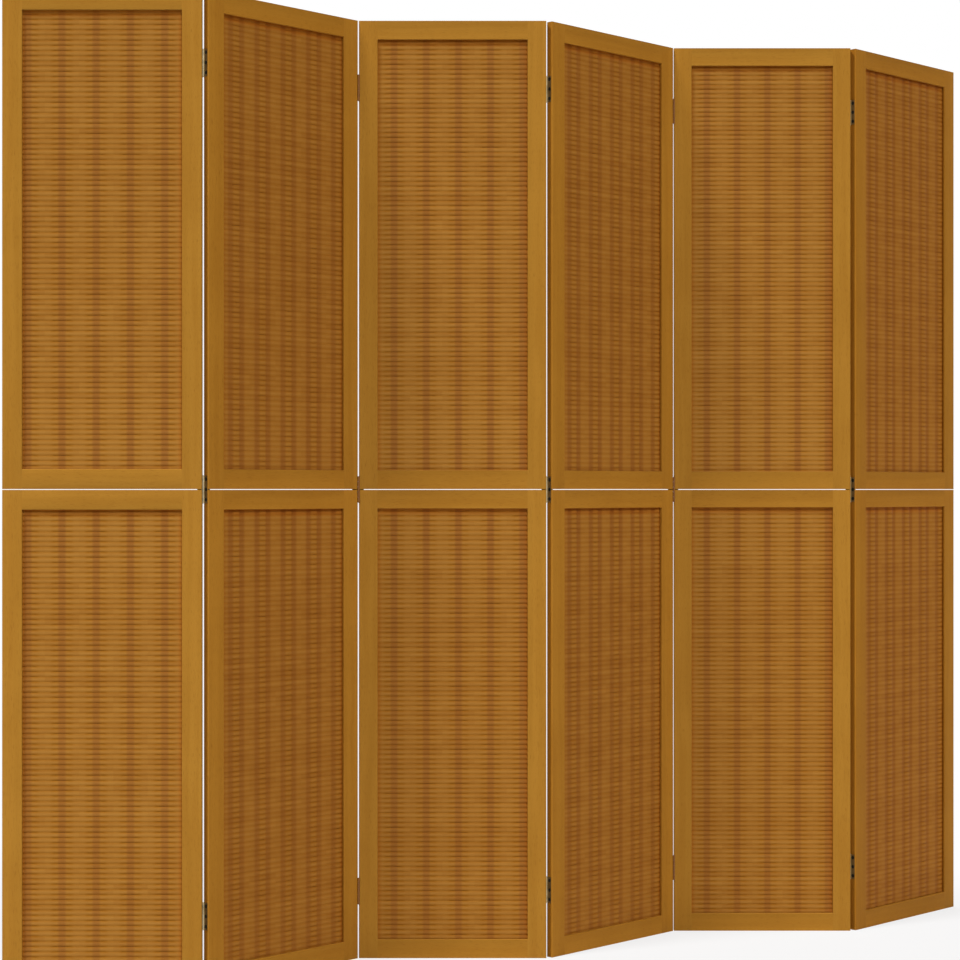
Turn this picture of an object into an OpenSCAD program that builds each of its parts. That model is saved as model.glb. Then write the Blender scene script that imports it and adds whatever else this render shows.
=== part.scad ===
// Wooden folding screen of six hinged panels with woven strip infill.
// Each panel is an upper frame above a lower frame, with a narrow open joint between them.
// X runs along the screen, Y from its front to its back and Z up; the floor is at Z = 0.
// All sizes are in millimetres and all angles in degrees.

/* [Screen] */
// Overall height
screen_h = 1800; // [1200:10:2200]
// Width of one panel
panel_w = 360; // [250:5:500]
// Thickness of the frame timber
panel_t = 14; // [12:0.5:30]
// How far neighbouring panels stand away from flat
fold_angle = 44.7; // [20:0.1:70]
// Open joint between the upper and the lower frame
mid_gap = 1.4; // [1:0.1:4]

/* [Frame timber] */
// Width of a stile across its face
stile_w = 36; // [25:1:70]
// Height of a rail across its face
rail_w = 36; // [25:1:70]
// Radius of the rounded outer edges of the stiles
edge_r = 1.7; // [0.5:0.1:5]
// Radius of the rounded edges around an opening
opening_r = 1.2; // [0.2:0.1:3]
// Depth of the groove that holds the weave and the rail tongues
groove_d = 8; // [5:0.5:12]
// Width of that groove
groove_w = 5; // [4:0.5:8]

/* [Weave] */
// Height of one row of woven strip
row_h = 9.35; // [5:0.05:20]
// How far the seam between two rows lies below the crest of a row
seam_d = 0.7; // [0.2:0.1:1.5]
// Free space between an edge of the weave and the bottom of its groove
weave_space = 2; // [0.5:0.5:4]
// Width of the upright stakes inside the weave
stake_w = 14; // [6:0.5:20]
// Thickness of a stake
stake_t = 1.8; // [1:0.1:2.5]
// Distance from stake to stake
stake_pitch = 61.8; // [30:0.1:120]
// From the left edge of an opening to the middle of its first stake
stake_first = 31.5; // [10:0.5:60]

/* [Hinges] */
// Height of one hinge
hinge_h = 50; // [30:1:90]
// From the top or the foot of the screen to the middle of the nearest hinge
hinge_inset = 129; // [80:1:300]
// Thickness of a hinge plate
plate_t = 1.2; // [0.8:0.1:2]
// How far a hinge plate is let into the end of a panel
plate_let_in = 1; // [0:0.1:1.1]
// Free space between the two plates of a hinge when the screen is flat
plate_space = 0.4; // [0.2:0.1:1]
// From the edge of a screw head to the far edge of a hinge plate
plate_margin = 0.9; // [0.5:0.1:3]
// Knuckles on one hinge
knuckle_count = 5; // [3:2:9]
// Free space between two knuckles
knuckle_gap = 0.3; // [0.1:0.1:1]
// Free space around a knuckle in the neighbouring plate
knuckle_space = 0.3; // [0.2:0.1:1]
// Free space around a knuckle in the timber
timber_space = 0.4; // [0.3:0.1:1.5]
// Diameter of the hinge pin
pin_dia = 2; // [1.2:0.1:4]
// Running clearance around the pin, measured on the radius
pin_clear = 0.05; // [0.02:0.01:0.1]
// How far the middle of the pin stands out of the panel face
pin_proud = 0.9; // [0.5:0.1:4]
// How far the head of a pin stands out around it
pin_head_edge = 0.7; // [0.3:0.1:0.8]
// Thickness of the head of a pin
pin_head_t = 0.6; // [0.3:0.1:2]

/* [Hinge screws] */
// Screws in one hinge plate
screw_count = 3; // [2:1:4]
// From the end of a hinge plate to its nearest screw
screw_inset = 6.5; // [4.5:0.5:10]
// Diameter of the screw shank
screw_dia = 2.4; // [1.8:0.1:4]
// Diameter of the countersunk screw head
screw_head_dia = 6.8; // [3:0.1:8]
// Overall length of a screw
screw_len = 10; // [6:0.5:16]
// Length of the pointed tip
screw_tip = 2.5; // [1:0.5:5]
// Length of one bar of the cross in the screw head
cross_len = 3.2; // [1:0.1:5]
// Width of one bar of the cross
cross_w = 0.6; // [0.3:0.1:1.5]
// Depth of the cross
cross_d = 0.6; // [0.3:0.1:1.5]

/* [Sub-part to show] */
// Name of one sub-part, or all

/* [Hidden] */
// Smoothness of round edges
$fn = 48;
// Overshoot of a cut past the surface that it opens
cut = 1;
// Panels in the screen
panel_count = 6;

// Height of one upper or lower frame
frame_h = (screen_h - mid_gap) / 2;
// Foot of the lower frame and of the upper frame
lower_z = 0;
upper_z = frame_h + mid_gap;
// Opening inside one frame
open_w = panel_w - 2 * stile_w;
open_h = frame_h - 2 * rail_w;

// Free space between two panel ends when the screen is flat
fold_gap = 2 * (plate_t - plate_let_in) + plate_space;
// From the middle of a panel to its hinge pin, along and across the panel
pin_x = (panel_w + fold_gap) / 2;
pin_y = panel_t / 2 + pin_proud;
// Turn of a panel away from the line of the screen
panel_turn = fold_angle / 2;
// From the middle of a panel to its hinge pin, along the line of the screen
half_pitch = pin_x * cos(panel_turn) + pin_y * sin(panel_turn);

// Heights of the three hinges on a fold
hinge_zs = [hinge_inset, screen_h / 2, screen_h - hinge_inset];
// A knuckle is the plate rolled around the pin
knuckle_r = pin_dia / 2 + plate_t;
knuckle_h = (hinge_h - (knuckle_count - 1) * knuckle_gap) / knuckle_count;
// Panel end, and inner and outer face of the plate, measured from the pin
end_x = -fold_gap / 2;
plate_in_x = end_x - plate_let_in;
plate_out_x = plate_in_x + plate_t;
// Line of the screws and far edge of the plate, measured from the pin
screw_y = -pin_y;
plate_y = screw_y - screw_head_dia / 2 - plate_margin;
screw_pitch = (hinge_h - 2 * screw_inset) / (screw_count - 1);
// Room for the pin heads above and below the knuckles
head_room = pin_head_t + timber_space;

// Size, rows and stakes of one weave
weave_lap = groove_d - weave_space;
weave_w = open_w + 2 * weave_lap;
weave_h = open_h + 2 * weave_lap;
weave_t = groove_w;
rows = round(weave_h / row_h);
row_pitch = weave_h / rows;
stake_count = 1 + floor((open_w - stake_first - stake_w / 2) / stake_pitch);

timber_light = [0.68, 0.48, 0.18];
timber_dark = [0.63, 0.42, 0.14];
strip_brown = [0.69, 0.47, 0.24];
stake_brown = [0.58, 0.36, 0.20];
hinge_metal = [0.64, 0.58, 0.45];
pin_metal = [0.55, 0.50, 0.40];
screw_metal = [0.20, 0.16, 0.12];

// Odd panels turn one way and even panels the other
function lean(n) = n % 2 == 1 ? -1 : 1;
// Side of a panel that holds its pins: 1 is the back and -1 the front
function pin_side(n, end) = -lean(n) * end;
// Whether a panel is hinged at its left end, -1, or its right end, 1
function hinged(n, end) = end > 0 ? n < panel_count : n > 1;
// Foot of a knuckle, measured from the middle of the hinge
function knuckle_z(i) = -hinge_h / 2 + i * (knuckle_h + knuckle_gap);
// Height of a screw, measured from the middle of the hinge
function screw_z(i) = (i - (screw_count - 1) / 2) * screw_pitch;

// Puts a piece that is drawn about the middle of a panel in its place in the screen
module in_panel(n) {
    translate([(2 * n - panel_count - 1) * half_pitch, 0, 0])
        rotate([0, 0, lean(n) * panel_turn])
            children();
}

// Turns a piece that is drawn for a right end with its pin at the back
module faced(end, side) {
    if (end > 0 && side > 0) children();
    if (end > 0 && side < 0) mirror([0, 1, 0]) children();
    if (end < 0 && side > 0) mirror([1, 0, 0]) children();
    if (end < 0 && side < 0) rotate([0, 0, 180]) children();
}

// Repeats a hinge piece at the three hinges on one end of a panel
module at_hinges(n, end) {
    side = pin_side(n, end);
    for (z = hinge_zs)
        translate([end * pin_x, side * pin_y, z])
            faced(end, side)
                children();
}

// Section of a right stile: its rounded outer edge is at X = 0 and its groove faces -X
module stile_section() {
    difference() {
        union() {
            translate([-stile_w, -panel_t / 2])
                square([stile_w - edge_r, panel_t]);
            translate([-stile_w, edge_r - panel_t / 2])
                square([stile_w, panel_t - 2 * edge_r]);
            for (side = [-1, 1])
                translate([-edge_r, side * (panel_t / 2 - edge_r)])
                    circle(r = edge_r);
        }
        translate([-stile_w - cut, -groove_w / 2])
            square([groove_d + cut, groove_w]);
    }
}

// Cutter that rounds an edge along Z, with the timber on its +X and +Y sides
module edge_cutter(length) {
    linear_extrude(length)
        difference() {
            translate([-cut, -cut])
                square(opening_r + cut);
            translate([opening_r, opening_r])
                circle(r = opening_r);
        }
}

// Right stile of one frame, rounded along the opening between the rails
module stile() {
    difference() {
        linear_extrude(frame_h)
            stile_section();
        for (side = [0, 1])
            mirror([0, side, 0])
                translate([-stile_w, -panel_t / 2, rail_w])
                    edge_cutter(open_h);
    }
}

// Recess for a hinge plate, hollow for its knuckles and holes for its screws
module hinge_recess() {
    translate([plate_in_x, plate_y, -hinge_h / 2])
        cube([plate_let_in + cut, -plate_y, hinge_h]);
    translate([0, 0, -hinge_h / 2 - head_room])
        cylinder(r = knuckle_r + timber_space, h = hinge_h + 2 * head_room);
    for (i = [0 : screw_count - 1])
        translate([0, screw_y, screw_z(i)])
            screw_body();
}

// The two stiles of one frame
module stiles(n, z) {
    for (end = [-1, 1])
        difference() {
            translate([end * panel_w / 2, 0, z])
                faced(end, 1)
                    stile();
            if (hinged(n, end))
                at_hinges(n, end) hinge_recess();
        }
}

// One rail with a tongue at each end, its groove and its rounded edges facing up
module rail() {
    difference() {
        union() {
            translate([-open_w / 2, -panel_t / 2, 0])
                cube([open_w, panel_t, rail_w]);
            translate([-open_w / 2 - groove_d, -groove_w / 2, 0])
                cube([open_w + 2 * groove_d, groove_w, rail_w]);
        }
        translate([-open_w / 2 - groove_d - cut, -groove_w / 2, rail_w - groove_d])
            cube([open_w + 2 * (groove_d + cut), groove_w, groove_d + cut]);
        for (side = [0, 1])
            mirror([0, side, 0])
                translate([-open_w / 2 - cut, -panel_t / 2, rail_w])
                    mirror([0, 0, 1])
                        rotate([90, 0, 90])
                            edge_cutter(open_w + 2 * cut);
    }
}

// The bottom rail and the top rail of one frame
module rails(z) {
    translate([0, 0, z])
        rail();
    translate([0, 0, z + frame_h])
        mirror([0, 0, 1])
            rail();
}

// Repeats a piece at each stake of a panel; the weave of the first panel is turned round
module at_stakes(n) {
    for (i = [0 : stake_count - 1]) {
        x = stake_first + i * stake_pitch - open_w / 2;
        translate([n == 1 ? -x : x, 0, 0])
            children();
    }
}

// Section of a stake, the same as its channel in the weave
module stake_section() {
    square([stake_w, stake_t], center = true);
}

// Woven strips filling one frame: the crests on one face lie opposite the seams on the other
module weave(n, z) {
    front = [for (i = [0 : rows - 1]) each [
        [seam_d - weave_t / 2, i * row_pitch],
        [-weave_t / 2, (i + 0.5) * row_pitch]
    ]];
    back = [for (i = [rows : -1 : 1]) each [
        [weave_t / 2, i * row_pitch],
        [weave_t / 2 - seam_d, (i - 0.5) * row_pitch]
    ]];
    ends = [[seam_d - weave_t / 2, weave_h]];
    foot = [[weave_t / 2, 0]];
    translate([0, 0, z + rail_w - weave_lap])
        difference() {
            translate([-weave_w / 2, 0, 0])
                rotate([90, 0, 90])
                    linear_extrude(weave_w)
                        polygon(concat(front, ends, back, foot));
            translate([0, 0, -cut])
                linear_extrude(weave_h + 2 * cut)
                    at_stakes(n) stake_section();
        }
}

// The stakes inside both weaves of panel n
module stakes(n) {
    for (z = [lower_z, upper_z])
        translate([0, 0, z + rail_w - weave_lap])
            linear_extrude(weave_h)
                at_stakes(n) stake_section();
}

// Outline of a screw whose head lies level with the plate and whose tip points to -X
module screw_body() {
    neck = screw_len - plate_t - screw_tip;
    translate([plate_in_x, 0, 0])
        rotate([0, 90, 0])
            cylinder(r1 = screw_dia / 2, r2 = screw_head_dia / 2, h = plate_t);
    translate([plate_in_x - neck, 0, 0])
        rotate([0, 90, 0])
            cylinder(r = screw_dia / 2, h = neck);
    translate([plate_in_x - neck - screw_tip, 0, 0])
        rotate([0, 90, 0])
            cylinder(r1 = 0, r2 = screw_dia / 2, h = screw_tip);
}

// The screws of one hinge plate
module plate_screws() {
    for (i = [0 : screw_count - 1])
        translate([0, screw_y, screw_z(i)])
            difference() {
                screw_body();
                translate([plate_out_x - cross_d, -cross_len / 2, -cross_w / 2])
                    cube([cross_d + cut, cross_len, cross_w]);
                translate([plate_out_x - cross_d, -cross_w / 2, -cross_len / 2])
                    cube([cross_d + cut, cross_w, cross_len]);
            }
}

// One hinge plate: first is 0 for the outer knuckles and 1 for the ones between them
module hinge_plate(first, bore_r) {
    difference() {
        union() {
            translate([plate_in_x, plate_y, -hinge_h / 2])
                cube([plate_t, -plate_y, hinge_h]);
            for (i = [first : 2 : knuckle_count - 1])
                translate([0, 0, knuckle_z(i)])
                    cylinder(r = knuckle_r, h = knuckle_h);
        }
        translate([0, 0, -hinge_h / 2 - cut])
            cylinder(r = bore_r, h = hinge_h + 2 * cut);
        for (i = [1 - first : 2 : knuckle_count - 1])
            translate([0, 0, knuckle_z(i) - knuckle_gap])
                cylinder(r = knuckle_r + knuckle_space, h = knuckle_h + 2 * knuckle_gap);
        for (i = [0 : screw_count - 1])
            translate([0, screw_y, screw_z(i)])
                screw_body();
    }
}

// Hinge pin with a head at each end
module hinge_pin() {
    translate([0, 0, -hinge_h / 2])
        cylinder(r = pin_dia / 2, h = hinge_h);
    translate([0, 0, hinge_h / 2])
        cylinder(r = pin_dia / 2 + pin_head_edge, h = pin_head_t);
    translate([0, 0, -hinge_h / 2 - pin_head_t])
        cylinder(r = pin_dia / 2 + pin_head_edge, h = pin_head_t);
}

// The stiles of one frame of panel n
module panel_stiles(n, z) {
    color(timber_light) in_panel(n) stiles(n, z);
}

// The rails of one frame of panel n
module panel_rails(n, z) {
    color(timber_dark) in_panel(n) rails(z);
}

// The weave of one frame of panel n
module panel_weave(n, z) {
    color(strip_brown) in_panel(n) weave(n, z);
}

// Every stake in panel n
module panel_stakes(n) {
    color(stake_brown) in_panel(n) stakes(n);
}

// Every hinge plate on panel n: the outer knuckles are on right ends, the ones between them on left ends
module panel_plates(n) {
    color(hinge_metal)
        in_panel(n) {
            if (hinged(n, 1))
                at_hinges(n, 1) hinge_plate(0, pin_dia / 2);
            if (hinged(n, -1))
                at_hinges(n, -1) hinge_plate(1, pin_dia / 2 + pin_clear);
        }
}

// Every hinge screw in panel n
module panel_screws(n) {
    color(screw_metal)
        in_panel(n)
            for (end = [-1, 1])
                if (hinged(n, end))
                    at_hinges(n, end) plate_screws();
}

// Pins at the right end of panel n
module panel_pins(n) {
    color(pin_metal) in_panel(n) at_hinges(n, 1) hinge_pin();
}

module panel_1_upper_stiles() { panel_stiles(1, upper_z); }
module panel_2_upper_stiles() { panel_stiles(2, upper_z); }
module panel_3_upper_stiles() { panel_stiles(3, upper_z); }
module panel_4_upper_stiles() { panel_stiles(4, upper_z); }
module panel_5_upper_stiles() { panel_stiles(5, upper_z); }
module panel_6_upper_stiles() { panel_stiles(6, upper_z); }

module panel_1_lower_stiles() { panel_stiles(1, lower_z); }
module panel_2_lower_stiles() { panel_stiles(2, lower_z); }
module panel_3_lower_stiles() { panel_stiles(3, lower_z); }
module panel_4_lower_stiles() { panel_stiles(4, lower_z); }
module panel_5_lower_stiles() { panel_stiles(5, lower_z); }
module panel_6_lower_stiles() { panel_stiles(6, lower_z); }

module panel_1_upper_rails() { panel_rails(1, upper_z); }
module panel_2_upper_rails() { panel_rails(2, upper_z); }
module panel_3_upper_rails() { panel_rails(3, upper_z); }
module panel_4_upper_rails() { panel_rails(4, upper_z); }
module panel_5_upper_rails() { panel_rails(5, upper_z); }
module panel_6_upper_rails() { panel_rails(6, upper_z); }

module panel_1_lower_rails() { panel_rails(1, lower_z); }
module panel_2_lower_rails() { panel_rails(2, lower_z); }
module panel_3_lower_rails() { panel_rails(3, lower_z); }
module panel_4_lower_rails() { panel_rails(4, lower_z); }
module panel_5_lower_rails() { panel_rails(5, lower_z); }
module panel_6_lower_rails() { panel_rails(6, lower_z); }

module panel_1_upper_weave() { panel_weave(1, upper_z); }
module panel_2_upper_weave() { panel_weave(2, upper_z); }
module panel_3_upper_weave() { panel_weave(3, upper_z); }
module panel_4_upper_weave() { panel_weave(4, upper_z); }
module panel_5_upper_weave() { panel_weave(5, upper_z); }
module panel_6_upper_weave() { panel_weave(6, upper_z); }

module panel_1_lower_weave() { panel_weave(1, lower_z); }
module panel_2_lower_weave() { panel_weave(2, lower_z); }
module panel_3_lower_weave() { panel_weave(3, lower_z); }
module panel_4_lower_weave() { panel_weave(4, lower_z); }
module panel_5_lower_weave() { panel_weave(5, lower_z); }
module panel_6_lower_weave() { panel_weave(6, lower_z); }

module panel_1_weave_stakes() { panel_stakes(1); }
module panel_2_weave_stakes() { panel_stakes(2); }
module panel_3_weave_stakes() { panel_stakes(3); }
module panel_4_weave_stakes() { panel_stakes(4); }
module panel_5_weave_stakes() { panel_stakes(5); }
module panel_6_weave_stakes() { panel_stakes(6); }

module panel_1_hinge_plates() { panel_plates(1); }
module panel_2_hinge_plates() { panel_plates(2); }
module panel_3_hinge_plates() { panel_plates(3); }
module panel_4_hinge_plates() { panel_plates(4); }
module panel_5_hinge_plates() { panel_plates(5); }
module panel_6_hinge_plates() { panel_plates(6); }

module panel_1_hinge_screws() { panel_screws(1); }
module panel_2_hinge_screws() { panel_screws(2); }
module panel_3_hinge_screws() { panel_screws(3); }
module panel_4_hinge_screws() { panel_screws(4); }
module panel_5_hinge_screws() { panel_screws(5); }
module panel_6_hinge_screws() { panel_screws(6); }

module panel_1_hinge_pins() { panel_pins(1); }
module panel_2_hinge_pins() { panel_pins(2); }
module panel_3_hinge_pins() { panel_pins(3); }
module panel_4_hinge_pins() { panel_pins(4); }
module panel_5_hinge_pins() { panel_pins(5); }

panel_1_upper_stiles();
panel_1_upper_rails();
panel_1_upper_weave();
panel_1_lower_stiles();
panel_1_lower_rails();
panel_1_lower_weave();
panel_2_upper_stiles();
panel_2_upper_rails();
panel_2_upper_weave();
panel_2_lower_stiles();
panel_2_lower_rails();
panel_2_lower_weave();
panel_3_upper_stiles();
panel_3_upper_rails();
panel_3_upper_weave();
panel_3_lower_stiles();
panel_3_lower_rails();
panel_3_lower_weave();
panel_4_upper_stiles();
panel_4_upper_rails();
panel_4_upper_weave();
panel_4_lower_stiles();
panel_4_lower_rails();
panel_4_lower_weave();
panel_5_upper_stiles();
panel_5_upper_rails();
panel_5_upper_weave();
panel_5_lower_stiles();
panel_5_lower_rails();
panel_5_lower_weave();
panel_6_upper_stiles();
panel_6_upper_rails();
panel_6_upper_weave();
panel_6_lower_stiles();
panel_6_lower_rails();
panel_6_lower_weave();
panel_1_weave_stakes();
panel_1_hinge_plates();
panel_1_hinge_screws();
panel_2_weave_stakes();
panel_2_hinge_plates();
panel_2_hinge_screws();
panel_3_weave_stakes();
panel_3_hinge_plates();
panel_3_hinge_screws();
panel_4_weave_stakes();
panel_4_hinge_plates();
panel_4_hinge_screws();
panel_5_weave_stakes();
panel_5_hinge_plates();
panel_5_hinge_screws();
panel_6_weave_stakes();
panel_6_hinge_plates();
panel_6_hinge_screws();
panel_1_hinge_pins();
panel_2_hinge_pins();
panel_3_hinge_pins();
panel_4_hinge_pins();
panel_5_hinge_pins();
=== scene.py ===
"""Looks of a six-leaf folding screen: stained timber frames filled with woven strips.

All lengths are in metres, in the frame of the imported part. A leaf's own axes are x along the
leaf, y from its front to its back, and z upwards, with the origin at the middle of its foot.
"""
import logging
import math
from collections.abc import Iterable
from dataclasses import dataclass
from enum import Enum
from functools import cache

import bmesh
import bpy
import numpy as np
from mathutils import Color, Matrix, Vector


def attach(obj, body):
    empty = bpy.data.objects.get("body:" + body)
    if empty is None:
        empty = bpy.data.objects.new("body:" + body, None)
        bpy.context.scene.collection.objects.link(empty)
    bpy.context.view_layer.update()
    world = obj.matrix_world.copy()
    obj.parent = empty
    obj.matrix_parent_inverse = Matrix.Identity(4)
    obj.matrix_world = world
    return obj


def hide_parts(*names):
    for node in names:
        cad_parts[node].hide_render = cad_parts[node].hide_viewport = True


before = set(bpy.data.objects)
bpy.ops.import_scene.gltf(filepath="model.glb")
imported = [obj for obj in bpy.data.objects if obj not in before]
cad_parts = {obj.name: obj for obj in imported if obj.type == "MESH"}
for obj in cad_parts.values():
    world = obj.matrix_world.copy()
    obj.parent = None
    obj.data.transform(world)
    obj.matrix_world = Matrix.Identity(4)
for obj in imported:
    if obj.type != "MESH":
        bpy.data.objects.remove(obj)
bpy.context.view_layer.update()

LOG = logging.getLogger("folding_screen")
MM = 0.001

GRAIN_PLACE = "grain_place"
GRAIN_OFFSET = "grain_offset"
# Tone and painted shade of the timber: lighter or darker by its place on the timber and by leaf.
TONE_AND_SHADE = "tone_and_shade"
STRIP_PLACE = "strip_place"
STRIP_FACE = "strip_face"
# Share of a darker, warmer tint of painted shade, by leaf and frame.
LEAF_SHADE_SHARE = "leaf_shade_share"

FLOAT, INT, VECTOR, COLOR, GEOMETRY, MATERIAL = (
    "NodeSocket" + word for word in ("Float", "Int", "Vector", "Color", "Geometry", "Material"))

Socket = bpy.types.NodeSocket
Number = Socket | float
Colour = Socket | tuple[float, ...]


class Tier(Enum):
    """The two frames of a leaf, one above the other."""

    UPPER = "upper"
    LOWER = "lower"


class Run(Enum):
    """The way the grain of a timber runs."""

    UPRIGHT = "upright"
    LEVEL = "level"


# Sizes


@dataclass(frozen=True)
class Leaf:
    """One leaf of the zigzag: its place and its sizes."""

    number: int
    count: int = 6
    half_pitch: float = 169.852113 * MM
    turn: float = math.radians(22.35)
    width: float = 360 * MM
    stile_width: float = 36 * MM
    frame_height: float = 899.3 * MM
    upper_foot: float = 900.7 * MM
    # Painted shade: even leaves, which the left lamp doesn't reach, take this share of the shade
    # tint.
    even_shade_share: float = 0.7

    @property
    def body(self) -> str:
        """Return the name of the leaf's body."""
        return f"panel_{self.number}"

    @property
    def is_odd(self) -> bool:
        """Tell whether the leaf faces the way of the first one."""
        return self.number % 2 == 1

    @property
    def is_first(self) -> bool:
        """Tell whether the leaf is the one at the left end."""
        return self.number == 1

    @property
    def is_last(self) -> bool:
        """Tell whether the leaf is the one at the right end."""
        return self.number == self.count

    @property
    def is_inner_odd(self) -> bool:
        """Tell whether the leaf faces the way of the first one but isn't that one."""
        return self.is_odd and not self.is_first

    @property
    def shade_share(self) -> float:
        """Return the share of the painted shade tint: none on odd leaves, and most on the last."""
        even = 1.0 if self.is_last else self.even_shade_share
        return 0.0 if self.is_odd else even

    @property
    def place(self) -> Matrix:
        """Return the matrix that puts the leaf's own axes in their place."""
        middle = (2 * self.number - self.count - 1) * self.half_pitch
        spin = Matrix.Rotation(-self.turn if self.is_odd else self.turn, 4, "Z")
        return Matrix.Translation((middle, 0, 0)) @ spin

    def foot(self, tier: Tier) -> float:
        """Return the height at which a frame starts."""
        return self.upper_foot if tier is Tier.UPPER else 0.0

    def node(self, tier: Tier, part: str) -> str:
        """Return the name of a node of one frame."""
        return f"{self.body}_{tier.value}_{part}"


@dataclass(frozen=True)
class FaceRelief:
    """How the strips of one face lie: over a stake, beside it and between two stakes.

    A crest is how far the middle of a strip stands out from the middle of the filling, a crown is
    how far that lies above the strip's own edges, and a gap is the slit between two strips, or
    below 0 how far they are packed into each other.
    """

    crest: tuple
    crown: tuple
    gap: tuple
    has_rungs: bool


FLAT_FACE = FaceRelief(
    crest=(2.36 * MM, 2.30 * MM, 2.05 * MM), crown=(0.80 * MM, 0.80 * MM, 0.42 * MM),
    gap=(0.22 * MM, 0.20 * MM, -0.10 * MM), has_rungs=False)
RUNG_FACE = FaceRelief(
    crest=(2.44 * MM, 1.30 * MM, 1.85 * MM), crown=(0.88 * MM, 0.25 * MM, 0.30 * MM),
    gap=(0.22 * MM, -0.05 * MM, -0.10 * MM), has_rungs=True)
SIZE_WORDS = ("Crest", "Crown", "Gap")
ZONES = ("Over", "Beside", "Between")


@dataclass(frozen=True)
class WeaveShape:
    """The rule that a woven filling follows."""

    row_pitch: float = 9.358 * MM
    high_edges: tuple = (32.3 * MM, 28.7 * MM)
    low_edges: tuple = (29.7 * MM, 34.7 * MM)
    low_leaves: tuple = (3, 5, 6)
    groove_top: float = 872 * MM
    half_length: float = 150 * MM
    stakes: int = 5
    stake_pitch: float = 61.8 * MM
    first_stake: float = (-144 + 31.5) * MM
    over_half: float = 5.5 * MM
    knot_step: float = 4.2 * MM
    thickness: float = 0.5 * MM
    middle: float = 900 * MM
    top_edge: float = 863.3 * MM
    side_edge: float = 144 * MM
    seed: int = 7

    def lowest_edge(self, leaf: Leaf, tier: Tier, is_back: bool) -> float:
        """Find where the lowest strip starts. The back strips lie half a row off the front ones.

        Args:
            leaf: The leaf.
            tier: The frame.
            is_back: Whether the strips are those of the back face.

        Returns:
            The height of the strip's lower edge over the foot of the frame.
        """
        edges = self.low_edges if leaf.number in self.low_leaves else self.high_edges
        edge = edges[tier is Tier.LOWER]
        if not is_back:
            return edge
        middle = (self.high_edges[0] + self.low_edges[0]) / 2
        return edge + math.copysign(self.row_pitch / 2, middle - edge)


# Node trees


@dataclass(frozen=True)
class Step:
    """A smooth step: where it starts and ends, and what it gives before and after it."""

    low: float
    high: float
    before: float = 0.0
    after: float = 1.0

    @classmethod
    def mm(cls, low: float, high: float, before: float = 0.0, after: float = 1.0) -> "Step":
        """Return a step that starts and ends at lengths given in millimetres."""
        return cls(low * MM, high * MM, before, after)


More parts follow.
